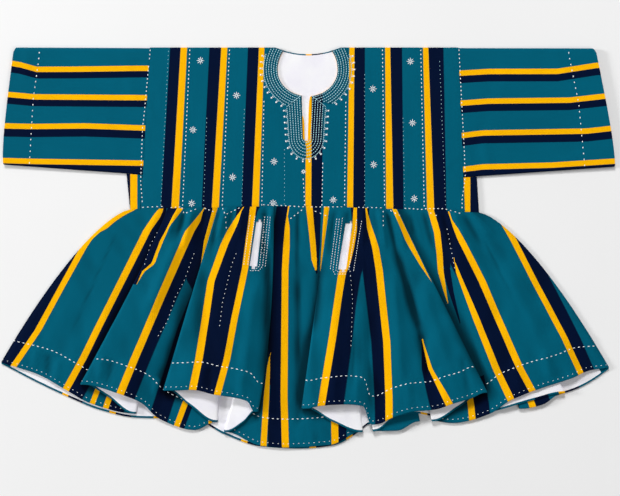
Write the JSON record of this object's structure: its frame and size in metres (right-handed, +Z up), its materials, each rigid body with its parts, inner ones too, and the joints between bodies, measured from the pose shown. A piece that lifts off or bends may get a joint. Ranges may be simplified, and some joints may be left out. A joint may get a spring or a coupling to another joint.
{
  "type": "batakari smock laid flat",
  "caption": "Wide-sleeved hand-woven strip smock laid flat, with a slit neck, pocket slits and a flared, folded skirt",
  "frame": {"origin": "centre of the laid-out smock's bounding box in plan, on the surface that it lies on", "axes": "+X from the left cuff to the right cuff as seen from above, +Y from the hem to the shoulders, +Z up from the surface"},
  "size_m": [1.4069, 0.92, 0.0309],
  "materials": {
    "striped_cloth": "coarse hand-woven cotton, teal with navy and yellow stripes",
    "gusset_cloth": "coarse hand-woven cotton, yellow and navy",
    "band_cloth": "navy and teal cotton under dense white running stitch",
    "lining_cloth": "thin plain white cotton"
  },
  "bodies": {
    "root": {"bodice_back_1": "striped_cloth", "bodice_back_2": "striped_cloth", "bodice_back_3": "striped_cloth", "bodice_back_4": "striped_cloth", "bodice_back_5": "striped_cloth", "bodice_back_6": "striped_cloth", "bodice_back_7": "striped_cloth", "bodice_back_8": "striped_cloth", "bodice_front_1": "striped_cloth", "bodice_front_2": "striped_cloth", "bodice_front_3": "striped_cloth", "bodice_front_4": "striped_cloth", "bodice_front_5": "striped_cloth", "bodice_front_6": "striped_cloth", "bodice_front_7": "striped_cloth", "bodice_front_8": "striped_cloth", "gusset_left": "gusset_cloth", "gusset_right": "gusset_cloth", "lining_bodice": "lining_cloth", "lining_skirt_back": "lining_cloth", "lining_skirt_front": "lining_cloth", "neck_band_left": "band_cloth", "neck_band_right": "band_cloth", "pocket_bag_left": "lining_cloth", "pocket_bag_right": "lining_cloth", "skirt_back_1": "striped_cloth", "skirt_back_2": "striped_cloth", "skirt_back_3": "striped_cloth", "skirt_back_4": "striped_cloth", "skirt_back_5": "striped_cloth", "skirt_back_6": "striped_cloth", "skirt_back_7": "striped_cloth", "skirt_back_8": "striped_cloth", "skirt_front_1": "striped_cloth", "skirt_front_2": "striped_cloth", "skirt_front_3": "striped_cloth", "skirt_front_4": "striped_cloth", "skirt_front_5": "striped_cloth", "skirt_front_6": "striped_cloth", "skirt_front_7": "striped_cloth", "skirt_front_8": "striped_cloth", "skirt_front_9": "striped_cloth", "sleeve_left": "striped_cloth", "sleeve_right": "striped_cloth", "slit_band": "band_cloth"}
  },
  "joints": []
}
